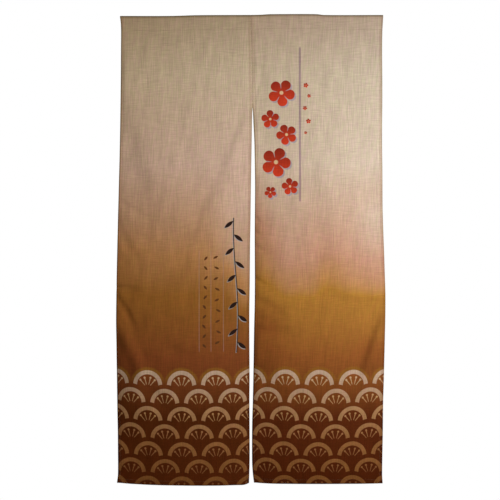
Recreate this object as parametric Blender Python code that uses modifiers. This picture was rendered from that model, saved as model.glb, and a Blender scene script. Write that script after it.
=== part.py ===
"""Noren: a split doorway curtain of two printed cloth panels, sewn together along the top.

The origin is the middle of the top edge, +Z is up and the printed face looks along -Y. The tables
and functions work in millimetres, and a mesh is turned to metres as its points are placed.
"""

import math
from collections import namedtuple

import bmesh
import bpy

MM = 0.001

# Cloth and hems, in millimetres
CLOTH = 1.2                # one layer, with its slubs
HEM_THICKNESS = 2.4        # two layers, where an edge is turned to the back
SIDE_HEM = 9.0
BOTTOM_HEM = 14.0
HEM_SLOPE = 2.5            # from the doubled edge down to the single layer
SEWN_GAP = 0.3             # between two pieces that are sewn to each other

# The rod sleeve along the top
SLEEVE_HEIGHT = 46.0
SLEEVE_HALF_DEPTH = 6.7
SLEEVE_FOOT = 1.6          # half depth just above the stitch line
SLEEVE_SIDES = 24          # flats around the sleeve
SLEEVE_STATIONS = 14       # steps along each half of the sleeve

# The finished length, and where the two panels part
CLOTH_LENGTH = 1500.0
SLIT_TOP = -296.0

# Steps of the panels' meshes, over a nominal width
PANEL_WIDTH = 420.0
COLUMNS = 26
ROWS = 48

# How each panel hangs: it rounds forward in its middle, more so below DROP
BULGE = 15.0
DROP = 480.0
SWAY = 3.0                 # a slow lean forward and back down the length
SWAY_LENGTH = 1100.0

# Outlines seen from the front: a height z, and where the edge lies there
Edge = namedtuple("Edge", "z x")

LEFT_SIDE = (
    Edge(0, -420.5), Edge(-30, -417.4), Edge(-110, -417.6), Edge(-240, -418.6), Edge(-430, -421.5),
    Edge(-590, -425.6), Edge(-740, -429.3), Edge(-930, -432.7), Edge(-1080, -432.5),
    Edge(-1160, -431.5), Edge(-1260, -430.2), Edge(-1350, -428.2), Edge(-1470, -427.3),
    Edge(-1500, -430.6),
)
RIGHT_SIDE = (
    Edge(0, 420.8), Edge(-50, 418.4), Edge(-110, 417.5), Edge(-240, 418.4), Edge(-395, 417.5),
    Edge(-510, 418.6), Edge(-625, 419.2), Edge(-780, 424.4), Edge(-910, 427.9), Edge(-1010, 426.8),
    Edge(-1160, 423.7), Edge(-1240, 421.3), Edge(-1350, 419.8), Edge(-1470, 417.8),
    Edge(-1500, 419.5),
)
SEAM_AND_SLIT_LEFT = (
    Edge(0, -2.1), Edge(-150, 0.6), Edge(-296, 3.3), Edge(-318, 2.0), Edge(-433, 0.1),
    Edge(-509, -1.3), Edge(-663, -3.4), Edge(-739, -4.7), Edge(-854, -5.7), Edge(-969, -7.1),
    Edge(-1160, -6.3), Edge(-1237, -6.7), Edge(-1352, -6.1), Edge(-1428, -6.0), Edge(-1500, -8.0),
)
SLIT_RIGHT = (
    Edge(-296, 3.6), Edge(-318, 4.8), Edge(-356, 6.6), Edge(-395, 8.6), Edge(-433, 9.7),
    Edge(-548, 11.3), Edge(-701, 10.3), Edge(-854, 10.7), Edge(-931, 10.0), Edge(-1007, 8.2),
    Edge(-1122, 6.4), Edge(-1237, 4.1), Edge(-1313, 1.9), Edge(-1428, 1.6), Edge(-1466, 3.6),
    Edge(-1500, 7.6),
)

# The top fold and the bottom hem: a place x, and how far each lies off its nominal height
Rise = namedtuple("Rise", "x z")

TOP_FOLD = (
    Rise(-420, -2.6), Rise(-260, -2.6), Rise(-175, -0.2), Rise(0, 0.6), Rise(29, 1.2),
    Rise(54, 2.8), Rise(80, 3.2), Rise(207, 3.1), Rise(233, 0.4), Rise(420, 0.4),
)
BOTTOM_LEFT = (
    Rise(-424, 4.3), Rise(-380, 1.4), Rise(-328, -0.9), Rise(-252, -2.4), Rise(-124, -3.5),
    Rise(-48, -2.6), Rise(-22, -1.6), Rise(-6, 4.5),
)
BOTTOM_RIGHT = (
    Rise(10, 4.7), Rise(54, 2.6), Rise(105, 2.2), Rise(252, 2.3), Rise(361, 2.2), Rise(412, 2.4),
)

# The folds that cross each panel: the path of the fold's middle as (x, z) places, how far that
# middle stands forward (or back, where it is negative), and how far the fold reaches to the left
# and to the right of someone walking along the path. A narrow side is steep and a wide one gentle.
Fold = namedtuple("Fold", "panel path lift left_width right_width")

FOLDS = (
    Fold("left", ((-225, -900), (-180, -770), (-150, -690), (-118, -600), (-78, -500), (-38, -400),
                  (18, -300), (70, -180)), 4.6, 36, 100),
    Fold("left", ((-200, -740), (-258, -620), (-304, -520), (-334, -400), (-392, -270), (-460, -190)),
         4.8, 64, 120),
    Fold("left", ((-450, -575), (-395, -612), (-350, -637), (-300, -655)), -1.8, 16, 24),
    Fold("left", ((-460, -620), (-415, -700), (-378, -765), (-345, -830)), -2.4, 26, 26),
    Fold("left", ((-480, -864), (-410, -866), (-335, -868)), -5.5, 15, 22),
    Fold("left", ((-436, -878), (-414, -915), (-390, -955), (-372, -1000), (-355, -1050)), -5.5, 18, 20),
    Fold("left", ((-446, -918), (-416, -980), (-392, -1035), (-364, -1100), (-330, -1190)), 7.5, 36, 34),
    Fold("left", ((-310, -1030), (-280, -1065), (-215, -1085), (-150, -1100)), -3.0, 32, 32),
    Fold("left", ((-360, -1175), (-225, -1290)), -4.5, 34, 34),
    Fold("left", ((-350, -1350), (-270, -1400)), -3.5, 32, 32),
    Fold("right", ((-6, -330), (12, -260), (28, -210), (37, -150), (44, -90), (58, -10)), -1.8, 22, 12),
    Fold("right", ((0, -625), (35, -625), (70, -618)), -1.8, 20, 20),
    Fold("right", ((0, -745), (45, -742), (90, -730)), -1.8, 22, 22),
    Fold("right", ((-10, -862), (30, -864), (70, -858)), -2.4, 16, 18),
    Fold("right", ((-20, -900), (40, -922), (75, -942), (120, -970)), -4.0, 24, 26),
    Fold("right", ((-20, -1002), (50, -1010), (95, -1010), (140, -1000)), -4.5, 22, 26),
    Fold("right", ((0, -1215), (28, -1198), (70, -1165)), -3.5, 20, 20),
    Fold("right", ((0, -1330), (52, -1328), (105, -1300)), -4.0, 24, 24),
    Fold("right", ((310, -960), (292, -870), (274, -780), (264, -700), (258, -600), (238, -470),
                   (215, -300)), 4.5, 54, 150),
    Fold("right", ((230, -868), (290, -886), (345, -894), (390, -894), (480, -890)), 8.0, 56, 26),
    Fold("right", ((338, -1190), (362, -1110), (380, -1050), (402, -985), (430, -920)), -8.0, 30, 25),
)

# Edges that curl to the back: between two heights, how far in the curl reaches and how deep it is
Curl = namedtuple("Curl", "panel edge z_top z_bottom reach back")

CURLS = (
    Curl("left", "outer", -60, -330, 26, 3),
    Curl("left", "outer", -500, -1010, 60, 5),
    Curl("left", "outer", -980, -1400, 80, 14),
    Curl("left", "slit", -1150, -1560, 40, 5),
    Curl("right", "slit", -500, -1250, 28, 5),
    Curl("right", "slit", -500, -1560, 130, 8),
    Curl("right", "outer", -1000, -1300, 40, 5),
)


def read_curve(rows, place):
    """The height at a place of a smooth curve through (place, height) rows, level past its ends."""
    rows = sorted((float(row[0]), float(row[1])) for row in rows)
    if place <= rows[0][0]:
        return rows[0][1]
    if place >= rows[-1][0]:
        return rows[-1][1]
    last = len(rows) - 1
    first = max(i for i in range(last) if rows[i][0] <= place)

    def slope(i):
        before, after = rows[max(i - 1, 0)], rows[min(i + 1, last)]
        return (after[1] - before[1]) / (after[0] - before[0])

    (place_a, height_a), (place_b, height_b) = rows[first], rows[first + 1]
    step = place_b - place_a
    t = (place - place_a) / step
    return (
        height_a * (1 + 2 * t) * (1 - t) ** 2
        + slope(first) * step * t * (1 - t) ** 2
        + height_b * t * t * (3 - 2 * t)
        + slope(first + 1) * step * t * t * (t - 1)
    )


def ease(share):
    """0 to 1 with soft ends, for a share that may run past either end."""
    share = min(max(share, 0.0), 1.0)
    return share * share * (3 - 2 * share)


def panel_edges(panel, z):
    """The x of a panel's left and right edges at a height."""
    seam = read_curve(SEAM_AND_SLIT_LEFT, z)
    if panel == "left":
        return read_curve(LEFT_SIDE, z), seam
    parted = seam + SEWN_GAP
    if z < SLIT_TOP:
        parted = max(parted, read_curve(SLIT_RIGHT, z))
    return parted, read_curve(RIGHT_SIDE, z)


def fold_height(fold, x, z):
    """How far one fold lifts the cloth: round across its path, and fading out at both ends of it."""
    lengths = [math.dist(a, b) for a, b in zip(fold.path, fold.path[1:])]
    nearest, reached, travelled = 1.0, 0.0, 0.0
    for (ax, az), (bx, bz), length in zip(fold.path, fold.path[1:], lengths):
        t = ((x - ax) * (bx - ax) + (z - az) * (bz - az)) / length ** 2
        t = min(max(t, 0.0), 1.0)
        off_x, off_z = x - ax - t * (bx - ax), z - az - t * (bz - az)
        on_left = (bx - ax) * off_z > (bz - az) * off_x
        share = math.hypot(off_x, off_z) / (fold.left_width if on_left else fold.right_width)
        if share < nearest:
            nearest, reached = share, travelled + t * length
        travelled += length
    across = (1 + math.cos(math.pi * nearest)) / 2
    fade = ease(2.5 * min(reached, travelled - reached) / travelled)
    return fold.lift * across * fade


def curl_depth(curl, from_outer, from_slit, z):
    """How far a curled edge lies back, at two distances in from the panel's edges."""
    inward = from_outer if curl.edge == "outer" else from_slit
    if inward >= curl.reach or not curl.z_bottom < z < curl.z_top:
        return 0.0
    share = (curl.z_top - z) / (curl.z_top - curl.z_bottom)
    return curl.back * (1 - inward / curl.reach) ** 2 * math.sin(math.pi * share) ** 0.7


def hang_forward(panel, x, z):
    """How far the panel's cloth stands forward of the line under the rod."""
    left, right = panel_edges(panel, z)
    across = min(max((x - left) / (right - left), 0.0), 1.0)
    fallen = ease((-z - SLEEVE_HEIGHT) / DROP)
    forward = BULGE * math.sin(math.pi * across) * fallen
    forward += SWAY * math.sin(2 * math.pi * z / SWAY_LENGTH) * fallen
    near_sleeve = ease((-z - SLEEVE_HEIGHT) / 40)
    forward += near_sleeve * sum(fold_height(fold, x, z) for fold in FOLDS if fold.panel == panel)
    from_outer, from_slit = (x - left, right - x) if panel == "left" else (right - x, x - left)
    for curl in CURLS:
        if curl.panel == panel:
            forward -= curl_depth(curl, from_outer, from_slit, z)
    return forward


def hem_steps(length, steps, hem_start, hem_end):
    """Distances along a length, with lines at each hem's edge and at the foot of its slope."""
    start = [0.0, hem_start, hem_start + HEM_SLOPE] if hem_start else [0.0]
    end = [length - hem_end - HEM_SLOPE, length - hem_end, length]
    middle = [start[-1] + (end[0] - start[-1]) * i / steps for i in range(1, steps)]
    return start + middle + end


def spread(distance, nominal, actual, margin):
    """Fit a distance measured on the nominal length to the actual one, with both margins kept."""
    if distance <= margin:
        return distance
    if nominal - distance <= margin:
        return actual - (nominal - distance)
    return margin + (distance - margin) * (actual - 2 * margin) / (nominal - 2 * margin)


def fabric(name, hex_colour):
    """Woven polyester: a matt Principled material in one sRGB colour."""
    material = bpy.data.materials.new(name)
    material.use_nodes = True
    shader = material.node_tree.nodes["Principled BSDF"]
    channels = [int(hex_colour[i:i + 2], 16) / 255 for i in (1, 3, 5)]
    linear = [c / 12.92 if c <= 0.04045 else ((c + 0.055) / 1.055) ** 2.4 for c in channels]
    shader.inputs["Base Color"].default_value = (*linear, 1.0)
    shader.inputs["Roughness"].default_value = 0.9
    shader.inputs["Metallic"].default_value = 0.0
    material.diffuse_color = (*linear, 1.0)
    return material


def new_piece(name, edit, collection, material):
    """Put an edited mesh into a named object with its material."""
    mesh = bpy.data.meshes.new(name)
    edit.to_mesh(mesh)
    edit.free()
    mesh.materials.append(material)
    mesh.shade_smooth()
    piece = bpy.data.objects.new(name, mesh)
    collection.objects.link(piece)
    return piece


def give_thickness(piece, thickness):
    """Thicken a sheet to the back of its faces, evenly along its bends."""
    solidify = piece.modifiers.new("Thickness", "SOLIDIFY")
    solidify.thickness = thickness * MM
    solidify.offset = -1.0
    solidify.use_even_offset = True
    return solidify


def make_panel(panel, collection, material):
    """One cloth panel: a sheet on its folds, doubled to the back along its hems."""
    across = hem_steps(PANEL_WIDTH, COLUMNS, SIDE_HEM, SIDE_HEM)
    down = hem_steps(CLOTH_LENGTH - SLEEVE_HEIGHT - SEWN_GAP, ROWS, 0.0, BOTTOM_HEM)
    bottom_edge = BOTTOM_LEFT if panel == "left" else BOTTOM_RIGHT
    edit = bmesh.new()
    bmesh.ops.create_grid(edit, x_segments=len(across) - 1, y_segments=len(down) - 1, size=0.5)
    hem = edit.verts.layers.deform.verify()
    for vert in edit.verts:
        from_left = across[round((vert.co.x + 0.5) * (len(across) - 1))]
        from_top = down[round((0.5 - vert.co.y) * (len(down) - 1))]
        in_side_hem = min(from_left, PANEL_WIDTH - from_left) <= SIDE_HEM
        vert[hem][0] = 1.0 if in_side_hem or down[-1] - from_top <= BOTTOM_HEM else 0.0
        level = -SLEEVE_HEIGHT - SEWN_GAP - from_top
        left, right = panel_edges(panel, level)
        x = left + spread(from_left, PANEL_WIDTH, right - left, SIDE_HEM + HEM_SLOPE)
        share = from_top / down[-1]
        z = level + read_curve(TOP_FOLD, x) * (1 - share) + read_curve(bottom_edge, x) * share
        y = -CLOTH / 2 - hang_forward(panel, x, z)
        vert.co = (x * MM, y * MM, z * MM)
    piece = new_piece(f"{panel}_panel", edit, collection, material)
    piece.vertex_groups.new(name="hem")
    solidify = give_thickness(piece, HEM_THICKNESS)
    solidify.vertex_group = "hem"
    solidify.thickness_vertex_group = CLOTH / HEM_THICKNESS


def sleeve_section(turn):
    """The sleeve's outline (y, z) at a turn from its top, -pi to pi: a round fold, then two
    sides that draw together to the stitch line."""
    side = math.copysign(1.0, turn)
    if abs(turn) <= math.pi / 2:
        return SLEEVE_HALF_DEPTH * math.sin(turn), SLEEVE_HALF_DEPTH * (math.cos(turn) - 1)
    down = abs(turn) / (math.pi / 2) - 1
    z = -SLEEVE_HALF_DEPTH - down * (SLEEVE_HEIGHT - SLEEVE_HALF_DEPTH)
    if down > 0.999:
        return 0.0, z
    return side * (SLEEVE_FOOT + (SLEEVE_HALF_DEPTH - SLEEVE_FOOT) * (1 - down ** 2)), z


def make_sleeve(panel, collection, material):
    """One half of the rod sleeve: the panel's top folded back and stitched, open at both ends."""
    edit = bmesh.new()
    ring = bmesh.ops.create_circle(edit, cap_ends=False, segments=SLEEVE_SIDES, radius=1.0)["verts"]
    for vert in ring:
        vert.co = (0.0, vert.co.x, vert.co.y)
    edges = list(edit.edges)
    for station in range(SLEEVE_STATIONS):
        pulled = bmesh.ops.extrude_edge_only(edit, edges=edges)["geom"]
        moved = [part for part in pulled if isinstance(part, bmesh.types.BMVert)]
        bmesh.ops.translate(edit, verts=moved, vec=(1.0, 0.0, 0.0))
        edges = [part for part in pulled if isinstance(part, bmesh.types.BMEdge)]
    for vert in edit.verts:
        y, z = sleeve_section(math.atan2(vert.co.y, vert.co.z))
        left, right = panel_edges(panel, z)
        x = left + (right - left) * vert.co.x / SLEEVE_STATIONS
        vert.co = (x * MM, y * MM, (z + read_curve(TOP_FOLD, x)) * MM)
    bmesh.ops.recalc_face_normals(edit, faces=edit.faces)
    top_face = max(edit.faces, key=lambda face: face.calc_center_median().z)
    if top_face.normal.z < 0:
        bmesh.ops.reverse_faces(edit, faces=edit.faces)
    piece = new_piece(f"{panel}_sleeve", edit, collection, material)
    give_thickness(piece, CLOTH)


for old in list(bpy.data.objects):
    bpy.data.objects.remove(old, do_unlink=True)

noren = bpy.data.collections.new("noren")
bpy.context.scene.collection.children.link(noren)

printed = fabric("printed polyester", "#A67F5B")
sleeve_cloth = fabric("doubled polyester", "#AE9780")
for panel in ("left", "right"):
    make_panel(panel, noren, printed)
    make_sleeve(panel, noren, sleeve_cloth)
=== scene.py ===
# %% [markdown]
# # A printed noren, from the cut cloth to the hanging curtain
#
# A noren is a split curtain that hangs in a doorway. This one is two lengths of slub polyester, a
# cloth with uneven threads that looks like linen. Each length has its sides and its bottom turned
# to the back and stitched, its top is folded back as a sleeve for a rod, and the two are sewn to
# each other along the middle for the top 296 mm. Below that they part in a slit.
#
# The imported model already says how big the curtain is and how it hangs. This file makes the
# surface: finer cloth on the same folds, with real turned hems, the stitching, and the print.
# Sizes are in millimetres and turn to metres as points are placed.

# %% Load the frame
import math
from collections import namedtuple
from functools import partial

import bmesh
import bpy
import numpy as np
from mathutils import Matrix, Vector


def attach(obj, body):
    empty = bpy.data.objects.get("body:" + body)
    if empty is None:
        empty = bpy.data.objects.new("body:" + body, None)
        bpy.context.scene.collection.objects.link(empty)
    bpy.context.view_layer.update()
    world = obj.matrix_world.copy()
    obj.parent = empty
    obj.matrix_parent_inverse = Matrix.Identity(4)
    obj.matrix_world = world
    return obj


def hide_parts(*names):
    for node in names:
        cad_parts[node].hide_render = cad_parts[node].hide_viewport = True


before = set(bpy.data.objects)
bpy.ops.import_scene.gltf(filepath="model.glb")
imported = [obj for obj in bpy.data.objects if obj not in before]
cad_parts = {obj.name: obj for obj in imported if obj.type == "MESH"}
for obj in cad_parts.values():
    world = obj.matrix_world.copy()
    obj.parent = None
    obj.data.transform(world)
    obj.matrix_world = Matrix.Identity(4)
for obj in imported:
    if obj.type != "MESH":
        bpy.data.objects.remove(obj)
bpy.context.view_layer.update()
MM = 0.001

# %% [markdown]
# ## The camera first
#
# The photograph looks straight at the curtain, and its edges show almost no perspective, so the
# camera stands well back with a long lens. The picture's 500 pixels span 1595 mm at the cloth.

# %% Camera
PHOTO_SCALE = 3.19                  # millimetres of cloth in one pixel
PHOTO_SIDE = 500
PHOTO_TOP_EDGE = (251.55, 14.6)     # the pixel that shows the frame's origin
CAMERA_DISTANCE = 6.0
FACE_FORWARD = 0.014                # the cloth's face stands this far in front of the rod's plane


def add_camera():
    """A frontal camera that frames the curtain as the photograph does."""
    middle = PHOTO_SIDE / 2
    x = (middle - PHOTO_TOP_EDGE[0]) * PHOTO_SCALE * MM
    z = -(middle - PHOTO_TOP_EDGE[1]) * PHOTO_SCALE * MM
    lens = bpy.data.cameras.new("front camera")
    lens.sensor_width = 36.0
    to_face = CAMERA_DISTANCE - FACE_FORWARD
    lens.lens = lens.sensor_width * to_face / (PHOTO_SIDE * PHOTO_SCALE * MM)
    camera = bpy.data.objects.new("front camera", lens)
    camera.location = (x, -CAMERA_DISTANCE, z)
    camera.rotation_euler = (math.pi / 2, 0, 0)
    bpy.context.scene.collection.objects.link(camera)
    bpy.context.scene.camera = camera
    return camera


camera = add_camera()
print(f"lens {camera.data.lens:.0f} mm, {CAMERA_DISTANCE} m from the cloth")

# %% [markdown]
# ## The shape in which the cloth hangs
#
# Cloth on a rod isn't flat. Its edges wander, each panel rounds forward in its middle, and creases run where
# it was folded or pulled. A simulation would give some folds, but not these ones, so they are placed one by
# one: short tables say where the edges lie and where each fold runs. The edges have the solids' own values.
# The folds are the solids' too, but a few creases lie up to 13 mm beside theirs or differ by up to 2.5 mm in
# depth, because finer cloth shows more of each.

# %% Sizes of the cloth
SLEEVE_HEIGHT = 46.0
SLEEVE_HALF_DEPTH = 6.7
SLIT_TOP = -296.0           # the seam's end, where the slit opens
CLOTH_LENGTH = 1500.0
PANEL_WIDTH = 420.0
SEWN_GAP = 0.05             # sewn edges touch here, where the solids keep 0.3 mm apart

BULGE = 15.0                # how far a panel's middle rounds forward
DROP = 480.0                # how far below the sleeve it has rounded fully
FOLD_DROP = 40.0            # and how far below it the folds have their full height
SWAY = 3.0                  # one slow wave down the cloth, and its length
SWAY_LENGTH = 1100.0

# %% Outlines, as heights (z) and the place of the edge there (x)
LEFT_SIDE = (
    (0, -420.5), (-30, -417.4), (-110, -417.6), (-240, -418.6), (-430, -421.5), (-590, -425.6),
    (-740, -429.3), (-930, -432.7), (-1080, -432.5), (-1160, -431.5), (-1260, -430.2),
    (-1350, -428.2), (-1470, -427.3), (-1500, -430.6),
)
RIGHT_SIDE = (
    (0, 420.8), (-50, 418.4), (-110, 417.5), (-240, 418.4), (-395, 417.5), (-510, 418.6),
    (-625, 419.2), (-780, 424.4), (-910, 427.9), (-1010, 426.8), (-1160, 423.7), (-1240, 421.3),
    (-1350, 419.8), (-1470, 417.8), (-1500, 419.5),
)
SEAM_AND_SLIT_LEFT = (
    (0, -2.1), (-150, 0.6), (-296, 3.3), (-318, 2.0), (-433, 0.1), (-509, -1.3), (-663, -3.4),
    (-739, -4.7), (-854, -5.7), (-969, -7.1), (-1160, -6.3), (-1237, -6.7), (-1352, -6.1),
    (-1428, -6.0), (-1500, -8.0),
)
SLIT_RIGHT = (
    (-296, 3.6), (-318, 4.8), (-356, 6.6), (-395, 8.6), (-433, 9.7), (-548, 11.3), (-701, 10.3),
    (-854, 10.7), (-931, 10.0), (-1007, 8.2), (-1122, 6.4), (-1237, 4.1), (-1313, 1.9),
    (-1428, 1.6), (-1466, 3.6), (-1500, 7.6),
)
# Places across the cloth (x), and how far the top fold or the bottom hem lies off its level (z)
TOP_FOLD = (
    (-420, -2.6), (-260, -2.6), (-175, -0.2), (0, 0.6), (29, 1.2), (54, 2.8), (80, 3.2),
    (207, 3.1), (233, 0.4), (420, 0.4),
)
BOTTOM_LEFT = (
    (-424, 4.3), (-380, 1.4), (-328, -0.9), (-252, -2.4), (-124, -3.5), (-48, -2.6), (-22, -1.6),
    (-6, 4.5),
)
BOTTOM_RIGHT = (
    (10, 4.7), (54, 2.6), (105, 2.2), (252, 2.3), (361, 2.2), (412, 2.4),
)

# %% Folds: the path of each one's middle, how far it stands forward, and its two half widths
# The widths lie to the left and right of someone who walks along the path, and a narrow side is
# steep. Most of the creases here are steep on one side and run out gently on the other.
Fold = namedtuple("Fold", "panel path lift left_width right_width")
FOLDS = (
    Fold("left", ((-225, -900), (-180, -770), (-150, -690), (-118, -600), (-78, -500), (-38, -400),
                  (18, -300), (70, -180)), 4.6, 36, 100),
    Fold("left", ((-200, -740), (-258, -620), (-304, -520), (-334, -400), (-392, -270), (-460, -190)),
         4.8, 64, 120),
    Fold("left", ((-450, -575), (-395, -612), (-350, -637), (-300, -655)), -1.8, 16, 24),
    Fold("left", ((-460, -620), (-415, -700), (-378, -765), (-345, -830)), -2.4, 26, 26),
    Fold("left", ((-490, -868), (-412, -872), (-345, -877)), -5.5, 15, 22),
    Fold("left", ((-444, -876), (-423, -912), (-399, -950), (-380, -988), (-366, -1030)), -5.0, 18, 20),
    Fold("left", ((-452, -938), (-421, -996), (-395, -1050), (-364, -1112), (-330, -1198)), 7.0, 34, 36),
    Fold("left", ((-310, -1030), (-280, -1065), (-215, -1085), (-150, -1100)), -3.0, 32, 32),
    Fold("left", ((-360, -1175), (-225, -1290)), -4.5, 34, 34),
    Fold("left", ((-350, -1350), (-270, -1400)), -3.5, 32, 32),
    Fold("right", ((-6, -330), (12, -260), (28, -210), (37, -150), (44, -90), (58, -10)), -1.8, 22, 12),
    Fold("right", ((-10, -634), (14, -650), (36, -668)), -2.2, 10, 12),
    Fold("right", ((-10, -680), (16, -696), (40, -712)), -1.8, 10, 12),
    Fold("right", ((-10, -724), (20, -742), (52, -758)), -2.2, 10, 14),
    Fold("right", ((-12, -826), (22, -848), (58, -866)), -2.8, 10, 15),
    Fold("right", ((-20, -900), (40, -922), (75, -942), (120, -970)), -4.0, 24, 26),
    Fold("right", ((-20, -1002), (50, -1010), (95, -1010), (140, -1000)), -4.5, 22, 26),
    Fold("right", ((0, -1215), (28, -1198), (70, -1165)), -3.5, 20, 20),
    Fold("right", ((0, -1330), (52, -1328), (105, -1300)), -4.0, 24, 24),
    Fold("right", ((310, -960), (292, -870), (274, -780), (264, -700), (258, -600), (238, -470),
                   (215, -300)), 3.2, 58, 150),
    Fold("right", ((230, -868), (290, -886), (345, -894), (390, -894), (480, -890)), 5.5, 56, 28),
    Fold("right", ((325, -1190), (349, -1110), (368, -1050), (391, -985), (421, -920)), -9.5, 34, 26),
)

# Edges that curl to the back: between two heights, how far in the curl reaches and how deep it is
Curl = namedtuple("Curl", "panel edge z_top z_bottom reach back")
CURLS = (
    Curl("left", "outer", -60, -330, 26, 3),
    Curl("left", "outer", -500, -1010, 60, 3),
    Curl("left", "outer", -980, -1400, 80, 14),
    Curl("left", "slit", -1150, -1560, 40, 5),
    Curl("right", "slit", -500, -1250, 28, 3),
    Curl("right", "slit", -980, -1230, 26, 4),
    Curl("right", "slit", -330, -690, 34, -2.5),
    Curl("right", "slit", -500, -1560, 130, 8),
    Curl("right", "outer", -1000, -1300, 40, 5),
)


# %% Read the tables as smooth curves
def read_curve(rows, places):
    """A smooth curve through (place, height) rows, read at many places, level past its ends."""
    at, height = np.array(sorted(rows), dtype=float).T
    order = np.arange(len(at))
    before, after = np.maximum(order - 1, 0), np.minimum(order + 1, len(at) - 1)
    slope = (height[after] - height[before]) / (at[after] - at[before])
    places = np.clip(places, at[0], at[-1])
    i = np.clip(np.searchsorted(at, places, side="right") - 1, 0, len(at) - 2)
    step = at[i + 1] - at[i]
    t = (places - at[i]) / step
    return (
        height[i] * (1 + 2 * t) * (1 - t) ** 2
        + slope[i] * step * t * (1 - t) ** 2
        + height[i + 1] * t * t * (3 - 2 * t)
        + slope[i + 1] * step * t * t * (t - 1)
    )


def ease(share):
    """0 to 1 with soft ends, for shares that may run past either end."""
    share = np.clip(share, 0.0, 1.0)
    return share * share * (3 - 2 * share)


def panel_edges(panel, z):
    """The x of a panel's left and right edges at each height."""
    seam = read_curve(SEAM_AND_SLIT_LEFT, z)
    if panel == "left":
        return read_curve(LEFT_SIDE, z), seam
    parted = np.maximum(seam + SEWN_GAP, read_curve(SLIT_RIGHT, z))
    return np.where(z < SLIT_TOP, parted, seam + SEWN_GAP), read_curve(RIGHT_SIDE, z)


# %% [markdown]
# ## Folds as soft ridges and troughs
#
# Each fold is a rounded profile swept along a short path: full height in its middle, fading out
# at both ends. Summed over the table they give how far the cloth stands forward at any place. The
# alternative is sculpting by hand, which nobody could read or change afterwards.

# %% The large form
def fold_height(fold, x, z):
    """How far one fold lifts the cloth: round across its path, fading out at both ends of it."""
    path = np.array(fold.path, dtype=float)
    nearest = np.ones(np.shape(x))
    reached = np.zeros(np.shape(x))
    travelled = 0.0
    for start, end in zip(path, path[1:]):
        run = end - start
        length = math.hypot(*run)
        t = np.clip(((x - start[0]) * run[0] + (z - start[1]) * run[1]) / length ** 2, 0, 1)
        off_x, off_z = x - start[0] - t * run[0], z - start[1] - t * run[1]
        width = np.where(run[0] * off_z > run[1] * off_x, fold.left_width, fold.right_width)
        share = np.hypot(off_x, off_z) / width
        closer = share < nearest
        nearest = np.where(closer, share, nearest)
        reached = np.where(closer, travelled + t * length, reached)
        travelled += length
    across = (1 + np.cos(np.pi * nearest)) / 2
    return fold.lift * across * ease(2.5 * np.minimum(reached, travelled - reached) / travelled)


def curl_depth(curl, from_outer, from_slit, z):
    """How far a curled edge lies back, at distances in from the panel's two edges."""
    inward = from_outer if curl.edge == "outer" else from_slit
    share = np.clip((curl.z_top - z) / (curl.z_top - curl.z_bottom), 0, 1)
    shape = np.clip(1 - inward / curl.reach, 0, 1) ** 2
    return curl.back * shape * np.sin(np.pi * share) ** 0.7


# %% [markdown]
# ## What stitching does to light cloth
#
# The solids stop at the large folds. Closer up, every stitch line draws the cloth in a little, so
# it lies in a fine groove with small ripples beside it, and the seam pulls both panels back. Cloth
# that was folded to be sold also keeps a faint unevenness. Both are far too fine to carve by hand,
# and come from waves that fade with the distance from the line.

# %% The fine relief
PUCKER = 0.45               # height of the ripples beside a stitch line
OUTER_SHARE = 0.7           # the share of it at an outer hem
SLIT_SHARE = 0.8            # and at the slit's hem, with more where both panels are sewn together
SEWN_SHARE = 0.5
PUCKER_LENGTH = 23.0        # from one ripple to the next
PUCKER_REACH = 12.0         # how far into the cloth they fade out
SEAM_PULL = 0.5             # how deep the middle seam draws the cloth in
SEAM_PULL_REACH = 5.0
SEAM_FADE = 60.0            # height around the seam's end over which its pull fades out
STITCH_DIP = 0.5
STITCH_DIP_REACH = 2.2
HEM_STITCH = 8.5            # from a side edge to its stitch line

# Waves of unevenness: length across and down the cloth, height, and where each one starts
Wave = namedtuple("Wave", "across down height start")
UNEVENNESS = (
    Wave(93, 410, 0.40, 0.3), Wave(-61, 230, 0.28, 1.9), Wave(47, -170, 0.20, 4.0),
    Wave(151, 97, 0.30, 2.6), Wave(-127, 139, 0.25, 5.1), Wave(38, 900, 0.16, 0.9),
)


def unevenness(x, z):
    """The faint waves that are left in cloth once it has been folded and hung."""
    return sum(
        wave.height * np.sin(2 * np.pi * (x / wave.across + z / wave.down) + wave.start)
        for wave in UNEVENNESS
    )


def ripples(along, start):
    """Uneven ripples along a stitch line, between about -1 and 1."""
    turns = 2 * np.pi * along / PUCKER_LENGTH
    return np.sin(turns + start) * (0.6 + 0.4 * np.sin(turns / 6.8 + 1))


def sewn_share(level):
    """1 where the panels are sewn to each other, 0 beside the slit, and between at the seam's end."""
    return ease((level - SLIT_TOP) / SEAM_FADE + 0.5)


def stitch_relief(from_outer, from_slit, x, level):
    """The grooves and ripples that the stitch lines make, as heights forward."""
    sewn = sewn_share(level)
    below = -SLEEVE_HEIGHT - level
    height = OUTER_SHARE * PUCKER * ripples(level, 0.0) * np.exp(-from_outer / PUCKER_REACH)
    at_slit = (SLIT_SHARE + SEWN_SHARE * sewn) * PUCKER
    height = height + at_slit * ripples(level, 2.0) * np.exp(-from_slit / PUCKER_REACH)
    height = height - SEAM_PULL * sewn * np.exp(-((from_slit / SEAM_PULL_REACH) ** 2))
    for inward in (from_outer, from_slit):
        height = height - STITCH_DIP * np.exp(-(((inward - HEM_STITCH) / STITCH_DIP_REACH) ** 2))
    height = height + PUCKER * ripples(x, 0.8) * np.exp(-below / (1.5 * PUCKER_REACH))
    return height * ease(below / 6)


# %% The printed face of a hanging panel
LAYER = 1.4                 # from one printed face to the other over a turned edge


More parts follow.
